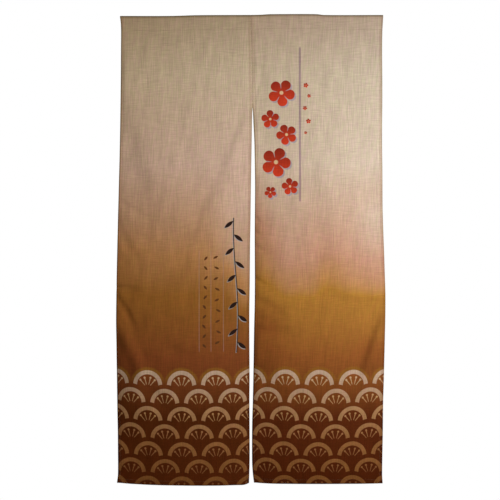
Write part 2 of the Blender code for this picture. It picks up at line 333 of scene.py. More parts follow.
def spread(distance, actual, margin=20.0):
    """Fit a distance measured on the nominal width to the actual one, with both margins kept."""
    middle = margin + (distance - margin) * (actual - 2 * margin) / (PANEL_WIDTH - 2 * margin)
    near_right = actual - (PANEL_WIDTH - distance)
    fitted = np.where(PANEL_WIDTH - distance <= margin, near_right, middle)
    return np.where(distance <= margin, distance, fitted)


def front_face(panel, from_left, level):
    """Where the printed face hangs, for places across a panel and levels down it."""
    left, right = panel_edges(panel, level)
    x = left + spread(from_left, right - left)
    from_outer, from_slit = (x - left, right - x) if panel == "left" else (right - x, x - left)
    below_sleeve = -level - SLEEVE_HEIGHT
    share = np.clip(below_sleeve / (CLOTH_LENGTH - SLEEVE_HEIGHT), 0, 1)
    bottom = BOTTOM_LEFT if panel == "left" else BOTTOM_RIGHT
    z = level + read_curve(TOP_FOLD, x) * (1 - share) + read_curve(bottom, x) * share
    fallen = ease(below_sleeve / DROP)
    forward = BULGE * np.sin(np.pi * np.clip((x - left) / (right - left), 0, 1)) * fallen
    forward += SWAY * np.sin(2 * np.pi * z / SWAY_LENGTH) * fallen
    folds = sum(fold_height(fold, x, z) for fold in FOLDS if fold.panel == panel)
    forward += (folds + unevenness(x, z)) * ease(below_sleeve / FOLD_DROP)
    for curl in CURLS:
        if curl.panel == panel:
            forward -= curl_depth(curl, from_outer, from_slit, z)
    forward += stitch_relief(from_outer, from_slit, x, level)
    return x, -LAYER / 2 - forward, z


# %% [markdown]
# ## One continuous sheet, turned at its hems
#
# A sewer doesn't glue a strip behind the edge: the same cloth goes round the edge and back. So
# each panel is one grid that follows the cloth from cut edge to cut edge. Going across, it starts
# at the side hem's raw edge behind the panel, rounds the fold, crosses the front and turns in
# again. Going down, it starts below the sleeve's stitch line at the back, climbs the sleeve,
# rounds the top, runs down the front and turns up as the bottom hem. Where both turns meet, in
# the corners, the cloth lies in four layers, so the second turn gets more room there.

# %% Stations across the cut cloth
THICKNESS = 0.55            # the real cloth, slubs included
SIDE_TURN = 10.0
COLUMN_STEP = 5.0
TURN_STEPS = 4
HEM_PLACES = (8.5, 6.0, 3.5, 1.8)
MARGIN_PLACES = (1.8, 3.5, 5.5, 7.5, 8.5, 9.5, 11.5, 14.0, 18.0)


def stations_across():
    """From the left hem's raw edge, round its fold, over the front and round to the right one's.

    Gives each station's distance from the panel's left edge and from its nearer edge, and how far
    it lies behind the printed face.
    """
    radius = LAYER / 2
    one_side = [(SIDE_TURN, LAYER)] + [(place, LAYER) for place in HEM_PLACES]
    for i in range(TURN_STEPS + 1):
        angle = math.pi * i / TURN_STEPS
        one_side.append((radius * (1 - math.sin(angle)), radius * (1 + math.cos(angle))))
    one_side += [(place, 0.0) for place in MARGIN_PLACES]
    margin = MARGIN_PLACES[-1]
    inner = np.linspace(margin, PANEL_WIDTH - margin, round((PANEL_WIDTH - 2 * margin) / COLUMN_STEP) + 1)
    from_edge, behind = np.array(one_side).T
    from_left = np.concatenate([from_edge, inner[1:-1], PANEL_WIDTH - from_edge[::-1]])
    behind = np.concatenate([behind, 0 * inner[1:-1], behind[::-1]])
    return from_left, np.minimum(from_left, PANEL_WIDTH - from_left), behind


# %% Stations down the cut cloth
CORNER_LAYERS = 3.1         # over a turned edge where the cloth lies four deep
CORNER_EASE = 8.0           # how far beside the side hem the bottom turn still is that deep
BOTTOM_TURN = 15.0
HEM_LEVEL = -CLOTH_LENGTH + 13.5    # the bottom hem's stitch line
SLEEVE_FLAP = 5.0           # how far the sleeve's back reaches below its stitch line
ROW_STEP = 4.5
WALL_ROWS = 11              # rows of the grid on each wall of the sleeve
TOP_ROWS = 13               # and around its top


def turned_depth(from_edge):
    """From one printed face to the other over the bottom turn, deeper over the side hems."""
    return LAYER + (CORNER_LAYERS - LAYER) * (1 - ease((from_edge - SIDE_TURN - 0.5) / CORNER_EASE))


def stations_down(deep):
    """Levels and depths from the sleeve's flap to the bottom hem's raw edge, for all columns.

    On the panel a depth counts from its front face, and on the sleeve from the rod's middle.
    """
    half, foot = SLEEVE_HALF_DEPTH, LAYER / 2
    rows = [(-SLEEVE_HEIGHT - below, deep, True) for below in np.linspace(SLEEVE_FLAP, 1.2, 3)]
    for down in np.linspace(1, 0, WALL_ROWS)[:-1]:
        wall = deep - foot + (half - deep + foot) * (1 - down ** 2)
        rows.append((-half - down * (SLEEVE_HEIGHT - half), wall, False))
    for turn in np.radians(np.linspace(90, -90, TOP_ROWS)):
        rows.append((half * (math.cos(turn) - 1), half * math.sin(turn), False))
    for down in np.linspace(0, 1, WALL_ROWS)[1:]:
        wall = -foot - (half - foot) * (1 - down ** 2)
        rows.append((-half - down * (SLEEVE_HEIGHT - half), wall, False))
    first, last = -SLEEVE_HEIGHT - 1.5, -CLOTH_LENGTH + CORNER_LAYERS
    rows += [(level, 0.0, True) for level in np.linspace(first, last, round((first - last) / ROW_STEP))]
    for turn in np.linspace(0, math.pi, TURN_STEPS + 1):
        level = -CLOTH_LENGTH + deep / 2 * (1 - math.sin(turn))
        rows.append((level, deep / 2 * (1 - math.cos(turn)), True))
    for up in np.linspace(0, BOTTOM_TURN, 6)[1:]:
        rows.append((-CLOTH_LENGTH + deep / 2 + up, deep, True))
    levels = np.array([row[0] + 0 * deep for row in rows])
    depths = np.array([row[1] + 0 * deep for row in rows])
    return levels, depths, np.array([row[2] for row in rows])


# %% [markdown]
# ## The sleeve and the print's places
#
# The sleeve is the same cloth, so it is only another stretch of the grid: two walls that draw
# together at the stitch line, with a round fold over the rod. The print was made on flat cloth.
# So each point also gets its place on the flat cloth, measured along the surface, and the pattern
# bends with every fold and turns with the hems, as dye in a cloth does.

# %% Points of one panel
SLEEVE_TUCK = 0.6           # share of a fold's height that the sleeve's front keeps
SWING_LEVEL = -1010.0       # below this the panels swing to the side, and take the print along
PRINT_SAG = {"left": 4.0, "right": 7.5}     # the tighter side hems hold the print up, so it sags
SAG_RANGE = (1080.0, 1250.0, 1380.0, 1470.0)    # down the cloth: none, full, full and none again

SIDE_SHADE_REACH, TOP_SHADE_REACH, BOTTOM_SHADE_REACH = 4.0, 5.5, 2.5    # how far the painted shade along a turned edge reaches in
LIT_EDGE = 0.5              # how much of it shows at a right edge, which faces the light
SEAM_EDGE = 0.1             # and how much at the seam
SEAM_SIDE = 20.0            # edges this near the slit are the ones that the seam joins


def sleeve_depth(panel, depth, x, z):
    """The sleeve's walls with the cloth's unevenness, and with the tuck beside the seam."""
    fullness = np.abs(depth) / SLEEVE_HALF_DEPTH
    folds = sum(fold_height(fold, x, z) for fold in FOLDS if fold.panel == panel)
    front = (depth < 0) * fullness
    return depth * (1 + 0.10 * unevenness(x, z)) - SLEEVE_TUCK * front * folds


def lay_cloth(panel):
    """A panel's points, its flat places across and down, and its marks: painted shade near a turned edge,
    and where the cloth is doubled.
    """
    from_left, from_edge, behind = stations_across()
    level, depth, on_panel = stations_down(turned_depth(from_edge))
    x, y, z = front_face(panel, from_left[None, :], level)
    y = np.where(on_panel[:, None], y + depth, sleeve_depth(panel, depth, x, z))
    down_y, down_z = np.gradient(y, axis=0), np.gradient(z, axis=0)
    length = np.hypot(down_y, down_z)
    y, z = y - down_z / length * behind, z + down_y / length * behind
    points = np.stack([x, y, z], axis=-1)
    places = flat_places(panel, points, level, from_left)
    return points, places, cloth_marks(panel, from_left, from_edge, level)


def flat_places(panel, points, level, from_left):
    """Places on the flat cloth: across from the curtain's middle, and down from its top fold."""
    middle = np.argmin(np.abs(from_left - PANEL_WIDTH / 2))
    steps = np.linalg.norm(np.diff(points, axis=1), axis=-1)
    along = np.pad(np.cumsum(steps, axis=1), ((0, 0), (1, 0)))
    anchor = sum(panel_edges(panel, np.maximum(level[:, middle], SWING_LEVEL))) / 2
    across = along - along[:, middle:middle + 1] + anchor[:, None]
    drops = np.linalg.norm(np.diff(points[:, middle], axis=0), axis=-1)
    down = np.concatenate([[0.0], np.cumsum(drops)])
    sewn_row = np.flatnonzero(np.isclose(level[:, middle], -SLEEVE_HEIGHT))[-1]
    down = (down - down[sewn_row] + SLEEVE_HEIGHT)[:, None]
    sags = ease((down - SAG_RANGE[0]) / (SAG_RANGE[1] - SAG_RANGE[0]))
    ends = ease((down - SAG_RANGE[2]) / (SAG_RANGE[3] - SAG_RANGE[2]))
    sag = PRINT_SAG[panel] * sags * (1 - ends) * np.sin(np.pi * from_left / PANEL_WIDTH)
    return across, down - sag


def cloth_marks(panel, from_left, from_edge, level):
    """Two marks for the material: painted shade near a turned edge, weaker where it faces the light, and
    where the cloth is doubled.
    """
    from_slit = PANEL_WIDTH - from_left if panel == "left" else from_left
    sewn = sewn_share(level) * (from_slit < SEAM_SIDE)
    lit = from_left / PANEL_WIDTH
    # painted shade along the side edges, weaker towards the right, which faces the light, and weaker at the
    # seam
    side_shade = np.exp(-((from_edge / SIDE_SHADE_REACH) ** 2)) * (1 - (1 - LIT_EDGE) * lit)
    side_shade = side_shade * (1 - (1 - SEAM_EDGE) * sewn)
    top_shade = np.exp(-((level / TOP_SHADE_REACH) ** 2))
    bottom_shade = np.exp(-(((level + CLOTH_LENGTH) / BOTTOM_SHADE_REACH) ** 2))
    painted_edge_shade = np.maximum(side_shade, np.maximum(top_shade, bottom_shade))
    side_hem = 1 - ease((from_edge - HEM_STITCH) / 2)[None, :] + 0 * level
    bottom_hem = 1 - ease((level - HEM_LEVEL) / 3 + 0.5)
    return {"painted_edge_shade": painted_edge_shade, "doubled": np.maximum(side_hem, bottom_hem)}


# %% Make a panel
def finish_mesh(name, edit, materials):
    """Turn an edited mesh into a smooth object at the origin with its materials."""
    mesh = bpy.data.meshes.new(name)
    edit.to_mesh(mesh)
    edit.free()
    for material in materials:
        mesh.materials.append(material)
    mesh.shade_smooth()
    piece = bpy.data.objects.new(name, mesh)
    bpy.context.scene.collection.objects.link(piece)
    return piece


def lay_grid(edit, points, across, down, marks):
    """Move a flat grid's points on to the cloth, and write its print map and its marks."""
    row_count, column_count = across.shape
    print_map = edit.loops.layers.uv.new("print")
    layers = {name: edit.verts.layers.float.new(name) for name in marks}
    place = {}
    for vert in edit.verts:
        column = round((vert.co.x + 0.5) * (column_count - 1))
        row = round((0.5 - vert.co.y) * (row_count - 1))
        place[vert] = (across[row, column] * MM, down[row, column] * MM)
        for name, layer in layers.items():
            vert[layer] = marks[name][row, column]
        vert.co = points[row, column] * MM
    for face in edit.faces:
        for loop in face.loops:
            loop[print_map].uv = place[loop.vert]


def make_cloth(panel, materials):
    """One panel as a grid laid over its points, with its print map and a real thickness."""
    points, (across, down), marks = lay_cloth(panel)
    row_count, column_count = across.shape
    edit = bmesh.new()
    bmesh.ops.create_grid(edit, x_segments=column_count - 1, y_segments=row_count - 1, size=0.5)
    lay_grid(edit, points, across, down, marks)
    cloth = finish_mesh(f"{panel}_cloth", edit, materials)
    solidify = cloth.modifiers.new("Thickness", "SOLIDIFY")
    solidify.thickness = THICKNESS * MM
    solidify.offset = -1.0
    solidify.material_offset = 1
    solidify.material_offset_rim = 1
    flat = (float(np.ptp(across, axis=1).mean()) * MM, float(np.ptp(down)) * MM)
    print(f"{panel} cloth: {row_count} rows of {column_count}, flat {flat[0]:.3f} by {flat[1]:.3f} m")
    return cloth, flat


# %% [markdown]
# ## Nodes and colours
#
# Colours are written as the sRGB hex values that a picker shows, and one function turns them to
# the linear numbers that a shader works in. One more adds a node with its settings and links.

# %% Node and colour helpers
def from_hex(colour):
    """An sRGB hex colour as linear red, green, blue and alpha."""
    channels = [int(colour[i:i + 2], 16) / 255 for i in (1, 3, 5)]
    linear = [c / 12.92 if c <= 0.04045 else ((c + 0.055) / 1.055) ** 2.4 for c in channels]
    return (*linear, 1.0)


def add_node(tree, kind, inputs=(), **settings):
    """Add a node, set its properties, and give its inputs numbers, hex colours or other nodes."""
    node = tree.nodes.new("ShaderNode" + kind)
    for name, value in settings.items():
        setattr(node, name, value)
    for key, value in inputs.items() if isinstance(inputs, dict) else enumerate(inputs):
        if isinstance(value, bpy.types.Node):
            value = next(socket for socket in value.outputs if socket.enabled)
        if isinstance(value, bpy.types.NodeSocket):
            tree.links.new(value, node.inputs[key])
        else:
            node.inputs[key].default_value = from_hex(value) if isinstance(value, str) else value
    return node


def fill_ramp(ramp, stops, reach):
    """Give a ramp its stops: places in millimetres out of a reach, each with a hex colour."""
    elements = ramp.color_ramp.elements
    elements.remove(elements[-1])
    elements[0].position = stops[0][0] / reach
    elements[0].color = from_hex(stops[0][1])
    for place, colour in stops[1:]:
        elements.new(place / reach).color = from_hex(colour)


def start_material(name):
    """A node material with only its Principled shader, and a short way to add more nodes to it."""
    material = bpy.data.materials.new(name)
    material.use_nodes = True
    return material, partial(add_node, material.node_tree)


# %% [markdown]
# ## The print's ground
#
# The cloth is transfer printed: the dyes go into the fibre, so the print has no thickness and no gloss of
# its own. Its ground runs down the cloth from beige through a pinkish tan and gold to a dark red brown, as
# if brushed by hand: the gold starts higher on the left panel, and on the right one it climbs again beside
# the slit. A ramp over the distance down holds each panel's colours, and the place where it is read shifts a
# little across the cloth. Both also carry painted light and shade: the right panel's ramp is lighter as
# painted light, and a few shifts darken or lighten the ground where folds and slopes are shaded or lit.

# %% Ground colours, at distances down the cloth in millimetres
# The ground's dyes from the top down: how far down the cloth each one is pure, and its colour on either
# panel. Between two of them they blend, so eight named colours describe the whole fade. The right panel's
# colours are lighter than the left's, most in the gold and brown. This is partly the print, whose gold
# starts higher on the left, and partly painted light, since the right panel is lit more strongly.
Dye = namedtuple("Dye", "name down left right")
DYES_AND_PAINTED_LIGHT = (
    Dye("shaded beige", 0, "#a9957b", "#ab9785"),
    Dye("beige", 190, "#c4b197", "#c3b49f"),
    Dye("pale beige", 480, "#caad9a", "#cebca9"),
    Dye("old rose", 760, "#b07f51", "#c2937a"),
    Dye("gold", 900, "#93612b", "#af7c36"),
    Dye("brown", 1100, "#7d4422", "#8f5528"),
    Dye("dark brown", 1280, "#4f250b", "#56270f"),
    Dye("darkest brown", 1490, "#4b2008", "#461c06"),
)
WARM_SIDE = "#fffaf2"               # each panel is a little warmer towards its left side
# From one place across a panel to another the colours come lower by this much (or higher, where
# it is negative), in a window of distances down the cloth: none, full, full and none again
Shift = namedtuple("Shift", "panel across_from across_to lower window")
SHIFTS = (
    # these two make the left panel paler beside the slit: partly the print's paler colour, partly painted
    # light on the slope there
    Shift("left", -165, -20, 102, (470, 640, 760, 860)),
    Shift("left", -90, 0, 120, (690, 850, 880, 1000)),
    Shift("left", -300, -420, -12, (600, 760, 900, 1010)),
    Shift("right", 78, 10, -75, (430, 560, 660, 760)),
    Shift("right", 130, 30, -84, (520, 740, 880, 960)),
    Shift("right", 215, 130, 26, (480, 600, 860, 960)),
    # these three shape the gold's slanting upper edge: partly the print, partly painted shade, the darker
    # middle row being a fold's painted shadow
    Shift("right", 140, 190, 20, (740, 800, 890, 960)),
    Shift("right", 200, 235, -34, (740, 800, 890, 960)),
    Shift("right", 262, 305, 10, (740, 800, 890, 960)),
    # these two darken the right panel beside the slit: partly a redder print, partly painted shade in the
    # trough along the slit
    Shift("right", 150, 45, -40, (880, 980, 1120, 1180)),
    Shift("right", 130, 60, -50, (880, 960, 1000, 1050)),
    # painted shade: darkens the ground along a crease at the lower right
    Shift("right", 300, 380, -35, (1000, 1080, 1125, 1170)),
    Shift("right", 270, 400, 48, (560, 660, 850, 920)),
    Shift("right", 300, 410, 52, (540, 660, 700, 790)),
)
BRUSH_SIZE = 140.0                  # the gold's edges waver over this length, by this much
BRUSH_WAVER = 26.0
BRUSHED = (600, 760, 900, 1010)     # the window in which they do
PRINT_BLEED = 0.7                   # how far the dye's edge is soft


def dyed_within(add, distance, edge, bleed=PRINT_BLEED):
    """1 where a distance is inside an edge and 0 outside, softened as dye is in a thread."""
    return add("MapRange", (distance, edge - bleed, edge + bleed, 1.0, 0.0), interpolation_type="SMOOTHSTEP")


def away_from(add, value, middle):
    """How far a value lies from a middle one, on either side of it."""
    return add("Math", (add("Math", (value, middle), operation="SUBTRACT"),), operation="ABSOLUTE")


def past_middle(add, value):
    """How far a value lies past the middle of its repeat, from -0.5 to 0.5, in a repeat of one."""
    return add("Math", (add("Math", (value,), operation="FRACT"), 0.5), operation="SUBTRACT")


def in_window(add, down, window):
    """A share that rises from 0 to 1 and falls back to 0, at four distances down the cloth."""
    rises = add("MapRange", (down, *window[:2], 0.0, 1.0), interpolation_type="SMOOTHSTEP")
    falls = add("MapRange", (down, *window[2:], 1.0, 0.0), interpolation_type="SMOOTHSTEP")
    return add("Math", (rises, falls), operation="MULTIPLY")


def draw_ground(add, panel, place, across, down):
    """The ground's colour at each place of the flat cloth."""
    brush = add("TexNoise", {"Vector": place, "Scale": 1 / BRUSH_SIZE, "Detail": 1.0}, noise_dimensions="2D")
    waver = add("Math", (brush, 2 * BRUSH_WAVER, -BRUSH_WAVER), operation="MULTIPLY_ADD")
    lower = add("Math", (waver, in_window(add, down, BRUSHED)), operation="MULTIPLY")
    for shift in SHIFTS:
        if shift.panel == panel:
            places = (across, shift.across_from, shift.across_to, 0.0, shift.lower)
            bend = add("MapRange", places, interpolation_type="SMOOTHSTEP")
            here = add("Math", (bend, in_window(add, down, shift.window)), operation="MULTIPLY")
            lower = add("Math", (lower, here), operation="ADD")
    read_at = add("Math", (down, lower), operation="SUBTRACT")
    share = add("Math", (read_at, 1 / CLOTH_LENGTH), operation="MULTIPLY")
    ramp = add("ValToRGB", (share,))
    fill_ramp(ramp, [(dye.down, getattr(dye, panel)) for dye in DYES_AND_PAINTED_LIGHT], CLOTH_LENGTH)
    first = -PANEL_WIDTH if panel == "left" else 0.0
    warm = add("MapRange", (across, first, first + PANEL_WIDTH, 1.0, 0.0))
    return add("Mix", {0: warm, 6: ramp, 7: WARM_SIDE}, data_type="RGBA", blend_type="MULTIPLY")


# %% [markdown]
# ## The print: rows of half wheels
#
# The bottom fifth carries a traditional repeat, rows of half wheels laid like fish scales, each
# row shifted by half a wheel and cutting off the feet of the row above. Every place on the cloth
# falls in one row, so its place inside that row's repeat is enough to draw it: a ring around the
# wheel's centre, and four spokes with round heads that spring from a point just below it.

# %% Half wheel sizes
WHEEL_PITCH = 108.8
WHEEL_ROW = 56.4
WHEEL_RADIUS = 46.9
WHEEL_BAND = 12.8
WHEEL_MARGIN = 13.4                 # clear ground that the next row cuts out around its wheels
WHEEL_FIRST_TOP = 1135.0            # down the cloth to the first row's tops
WHEEL_CENTRE = {"left": -4.3, "right": 4.3}     # across, the first row's wheel nearest the slit
SPOKE_PIVOT = 57.4                  # below a row's tops
SPOKE_ANGLES = (15.5, 40.5)
SPOKE_REACH = (13.0, 35.3)
SPOKE_HALF_WIDTH = (0.8, 1.5)       # near the pivot and near the head
SPOKE_HEAD = 3.3

WHEEL_COLOURS = ((1130, "#bba08a"), (1260, "#a17852"), (1350, "#895c35"), (1500, "#704520"))
SPOKE_COLOURS = (
    (1130, "#c2a482"), (1200, "#b48c62"), (1260, "#a67c50"), (1350, "#8c5e3a"), (1500, "#6e4526"),
)
HALO_COLOUR = "#8a5e22"             # an olive glow around the first row's wheels
HALO_STRENGTH = 0.65
HALO_WIDTH = (5.0, 13.5)            # out from the rings, where it is full and where it ends
HALO_INSIDE = (-8.0, -4.0)          # it starts under the rings, between these places
HALO_FADE = 16.0                    # and fades towards the level of the wheels' centres


# %% Half wheels as nodes
def beside_wheel(add, panel, row, across):
    """How far a place lies to the side of the nearest wheel's middle, in a given row."""
    centre = 0.5 - WHEEL_CENTRE[panel] / WHEEL_PITCH
    wheels = add("Math", (across, 1 / WHEEL_PITCH, centre), operation="MULTIPLY_ADD")
    shifted = add("Math", (row, 0.5, wheels), operation="MULTIPLY_ADD")
    return add("Math", (past_middle(add, shifted), WHEEL_PITCH), operation="MULTIPLY")


def place_in_row(add, panel, across, down):
    """Which row a place is in, and where it lies from that row's nearest wheel top."""
    rows = add("Math", (down, 1 / WHEEL_ROW, -WHEEL_FIRST_TOP / WHEEL_ROW), operation="MULTIPLY_ADD")
    row = add("Math", (rows,), operation="FLOOR")
    fallen = add("Math", (add("Math", (rows,), operation="FRACT"), WHEEL_ROW), operation="MULTIPLY")
    return row, beside_wheel(add, panel, row, across), fallen


def draw_rings(add, side, fallen):
    """The dye mask of the rings."""
    spot = add("CombineXYZ", (side, fallen))
    from_centre = add("VectorMath", (spot, (0, WHEEL_RADIUS, 0)), operation="DISTANCE")
    off_band = away_from(add, from_centre, WHEEL_RADIUS - WHEEL_BAND / 2)
    mirrored = add("VectorMath", (spot,), operation="ABSOLUTE")
    next_centre = (WHEEL_PITCH / 2, WHEEL_ROW + WHEEL_RADIUS, 0)
    from_next = add("VectorMath", (mirrored, next_centre), operation="DISTANCE")
    ring = dyed_within(add, off_band, WHEEL_BAND / 2)
    cut = dyed_within(add, from_next, WHEEL_RADIUS + WHEEL_MARGIN)
    return add("Math", (ring, cut), operation="SUBTRACT", use_clamp=True)


def draw_spokes(add, side, fallen):
    """The dye mask of the spokes and their heads."""
    rise = add("Math", (SPOKE_PIVOT, fallen), operation="SUBTRACT")
    spot = add("CombineXYZ", (side, rise))
    reach = add("VectorMath", (spot,), operation="LENGTH")
    angle = add("Math", (add("Math", (side, rise), operation="ARCTAN2"),), operation="ABSOLUTE")
    middle = math.radians(sum(SPOKE_ANGLES) / 2)
    half_gap = math.radians(SPOKE_ANGLES[1] - SPOKE_ANGLES[0]) / 2
    from_spoke = add("Math", (away_from(add, angle, middle), half_gap), operation="SUBTRACT")
    sideways = add("Math", (add("Math", (from_spoke, reach), operation="MULTIPLY"),), operation="ABSOLUTE")
    half_width = add("MapRange", (reach, *SPOKE_REACH, *SPOKE_HALF_WIDTH))
    outside = add("Math", (sideways, half_width), operation="SUBTRACT")
    stroke = dyed_within(add, outside, 0.0)
    begun = dyed_within(add, reach, SPOKE_REACH[0])
    ended = dyed_within(add, reach, SPOKE_REACH[1])
    length = add("Math", (ended, begun), operation="SUBTRACT", use_clamp=True)
    shaft = add("Math", (stroke, length), operation="MULTIPLY")
    along = add("Math", (reach, SPOKE_REACH[1]), operation="SUBTRACT")
    from_head = add("VectorMath", (add("CombineXYZ", (sideways, along)),), operation="LENGTH")
    return add("Math", (shaft, dyed_within(add, from_head, SPOKE_HEAD)), operation="MAXIMUM")


def draw_halo(add, panel, ground, across, down):
    """The ground with an olive glow around the first row of wheels."""
    spot = add("CombineXYZ", (beside_wheel(add, panel, 0.0, across), down))
    centre_level = WHEEL_FIRST_TOP + WHEEL_RADIUS
    from_centre = add("VectorMath", (spot, (0, centre_level, 0)), operation="DISTANCE")
    from_ring = add("Math", (from_centre, WHEEL_RADIUS), operation="SUBTRACT")
    above = dyed_within(add, down, centre_level - HALO_FADE, HALO_FADE)
    rim = add("MapRange", (from_ring, *HALO_WIDTH, HALO_STRENGTH, 0.0), interpolation_type="SMOOTHSTEP")
    outside = add("MapRange", (from_ring, *HALO_INSIDE, 0.0, 1.0))
    glow = add("Math", (add("Math", (rim, above), operation="MULTIPLY"), outside), operation="MULTIPLY")
    return add("Mix", {0: glow, 6: ground, 7: HALO_COLOUR}, data_type="RGBA")


def draw_half_wheels(add, panel, ground, across, down):
    """The ground with the rows of half wheels printed over it."""
    row, side, fallen = place_in_row(add, panel, across, down)
    rings = draw_rings(add, side, fallen)
    spokes = draw_spokes(add, side, fallen)
    started = add("Math", (row, -0.5), operation="GREATER_THAN")
    share = add("Math", (down, 1 / CLOTH_LENGTH), operation="MULTIPLY")
    ring_colour, spoke_colour = add("ValToRGB", (share,)), add("ValToRGB", (share,))
    fill_ramp(ring_colour, WHEEL_COLOURS, CLOTH_LENGTH)
    fill_ramp(spoke_colour, SPOKE_COLOURS, CLOTH_LENGTH)
    colour = draw_halo(add, panel, ground, across, down)
    for mask, dye in ((rings, ring_colour), (spokes, spoke_colour)):
        printed = add("Math", (mask, started), operation="MULTIPLY")
        colour = add("Mix", {0: printed, 6: colour, 7: dye}, data_type="RGBA")
    return colour


# %% [markdown]
# ## The print: rules
#
# Thin printed rules divide the panels: a broad one on the right panel and three faint ones on the
# left. Each is a band around one place across the cloth, between two places down it. The broad
# one's lilac dye lies over the ground's, so it multiplies the colour there. The faint ones are
# paler than the gold that they cross, so they cover a part of it.

# %% Rules
Rule = namedtuple("Rule", "panel across top bottom half_width strength colour blend")
FAINT_RULES = (-164.5, -127.0, -87.0)   # across
RULES = (
    Rule("right", 156.8, 106.0, 600.0, 3.0, 1.0, "#cabedb", "MULTIPLY"),
    *(Rule("left", across, 752.0, 1075.0, 1.3, 0.35, "#a88a80", "MIX") for across in FAINT_RULES),
)
RULE_BLEED = 1.2                        # how soft its long edges are
RULE_END_BLEED = 4.0


def draw_rule(add, rule, colour, across, down):
    """The cloth's colour with one rule printed over it."""
    middle, half = (rule.top + rule.bottom) / 2, (rule.bottom - rule.top) / 2
    sides = dyed_within(add, away_from(add, across, rule.across), rule.half_width, RULE_BLEED)
    ends = dyed_within(add, away_from(add, down, middle), half, RULE_END_BLEED)
    band = add("Math", (sides, ends), operation="MULTIPLY")
    mask = add("Math", (band, rule.strength), operation="MULTIPLY")
    return add("Mix", {0: mask, 6: colour, 7: rule.colour}, data_type="RGBA", blend_type=rule.blend)


# %% [markdown]
# ## The print: blossoms and leaves
#
# The rest of the print is plain ornament. Red five-petalled blossoms with a lilac shadow scatter
# down the right panel, with a few buds past the rule. A dark sprig stands on the left panel near
# the slit, beside small brown leaves. A flower is a circle whose radius swells and shrinks with
# the angle, and a leaf is where two arcs overlap, so each needs only a handful of nodes.

# %% Blossoms
Blossom = namedtuple("Blossom", "across down radius turn")
BLOSSOMS = (
    Blossom(98, 252, 43, 12), Blossom(62, 336, 29, 50), Blossom(114, 386, 33, 31),
    Blossom(80, 474, 47, 5), Blossom(125, 552, 27, 44), Blossom(62, 570, 19, 22),
)
BUDS = (
    Blossom(176, 228, 8, 0), Blossom(186, 262, 6, 30), Blossom(173, 301, 7, 15),
    Blossom(184, 343, 8, 50), Blossom(175, 380, 5, 0),
)
BUD_RADIUS = 10                     # below this it is a bud, which has no shadow
PETALS = 5
PETAL_NOTCH = 0.40                  # how much narrower the flower is between two petals
PETAL_ROUNDNESS = 2.4               # a higher power makes the petals' ends flatter
PETAL_GAP = (0.86, 0.95)            # the gap's sides, from 0 on a petal's middle to 1 between two
PETAL_GAP_START = (0.25, 0.45)      # it opens this far out from the flower's middle
PETAL_GAP_DEPTH = 0.8
HEART_RADIUS, HEART_BLEED = 0.14, 0.04
SHADOW_SHIFT = (4.5, 5.0)
SHADOW_BLEED = 2.5
BLOSSOM_TOP, BLOSSOM_FOOT = "#842a1c", "#cf4025"
BLOSSOM_HEART = "#d8b48c"
SHADOW_COLOUR = "#aa9ca0"


def flower_place(add, place, middle, radius, turn):
    """A place on the cloth seen from a flower's middle, with its petals' tips one unit away."""
    return add("Mapping", {
        "Vector": place, "Location": (*middle, 0), "Rotation": (0, 0, math.radians(turn)),
        "Scale": (radius, radius, 1),
    }, vector_type="TEXTURE")


def beside_petal(add, local):
    """How far to the side of the nearest petal's middle: 0 on it, and 1 between two petals."""
    axes = add("SeparateXYZ", (local,))
    angle = add("Math", (axes.outputs["Y"], axes.outputs["X"]), operation="ARCTAN2")
    # half a petal is added so that a middle lies at angle 0, and whole ones keep the value above 0
    petals = add("Math", (angle, PETALS / (2 * math.pi), 2 * PETALS + 0.5), operation="MULTIPLY_ADD")
    beside = add("Math", (past_middle(add, petals), 2.0), operation="MULTIPLY")
    return add("Math", (beside,), operation="ABSOLUTE")


def draw_flower(add, place, middle, radius, turn, bleed):
    """The dye mask of a flower with round petals and a thin gap between them."""
    local = flower_place(add, place, middle, radius, turn)
    reach = add("VectorMath", (local,), operation="LENGTH")
    beside = beside_petal(add, local)
    round_off = add("Math", (beside, PETAL_ROUNDNESS), operation="POWER")
    outline = add("Math", (round_off, -PETAL_NOTCH, 1.0), operation="MULTIPLY_ADD")
    outside = add("Math", (reach, outline), operation="SUBTRACT")
    petal = dyed_within(add, outside, 0.0, bleed / radius)
    gap = add("MapRange", (beside, *PETAL_GAP, 0.0, PETAL_GAP_DEPTH))
    opened = add("MapRange", (reach, *PETAL_GAP_START, 0.0, 1.0))
    gap = add("Math", (gap, opened), operation="MULTIPLY")
    return add("Math", (petal, gap), operation="SUBTRACT", use_clamp=True), reach


def draw_blossom(add, blossom, colour, place):
    """The cloth's colour with one blossom, or bud, and its shadow printed over it."""
    at = (blossom.across, blossom.down)
    size, turn = blossom.radius, blossom.turn
    if size > BUD_RADIUS:
        shaded = (at[0] + SHADOW_SHIFT[0], at[1] + SHADOW_SHIFT[1])
        shadow, _ = draw_flower(add, place, shaded, size, turn, SHADOW_BLEED)
        colour = add("Mix", {0: shadow, 6: colour, 7: SHADOW_COLOUR}, data_type="RGBA")
    petals, reach = draw_flower(add, place, at, size, turn, PRINT_BLEED)
    level = add("SeparateXYZ", (place,)).outputs["Y"]
    share = add("MapRange", (level, at[1] - size, at[1] + size, 0.0, 1.0))
    dye = add("Mix", {0: share, 6: BLOSSOM_TOP, 7: BLOSSOM_FOOT}, data_type="RGBA")
    heart = dyed_within(add, reach, HEART_RADIUS, HEART_BLEED)
    dye = add("Mix", {0: heart, 6: dye, 7: BLOSSOM_HEART}, data_type="RGBA")
    return add("Mix", {0: petals, 6: colour, 7: dye}, data_type="RGBA")


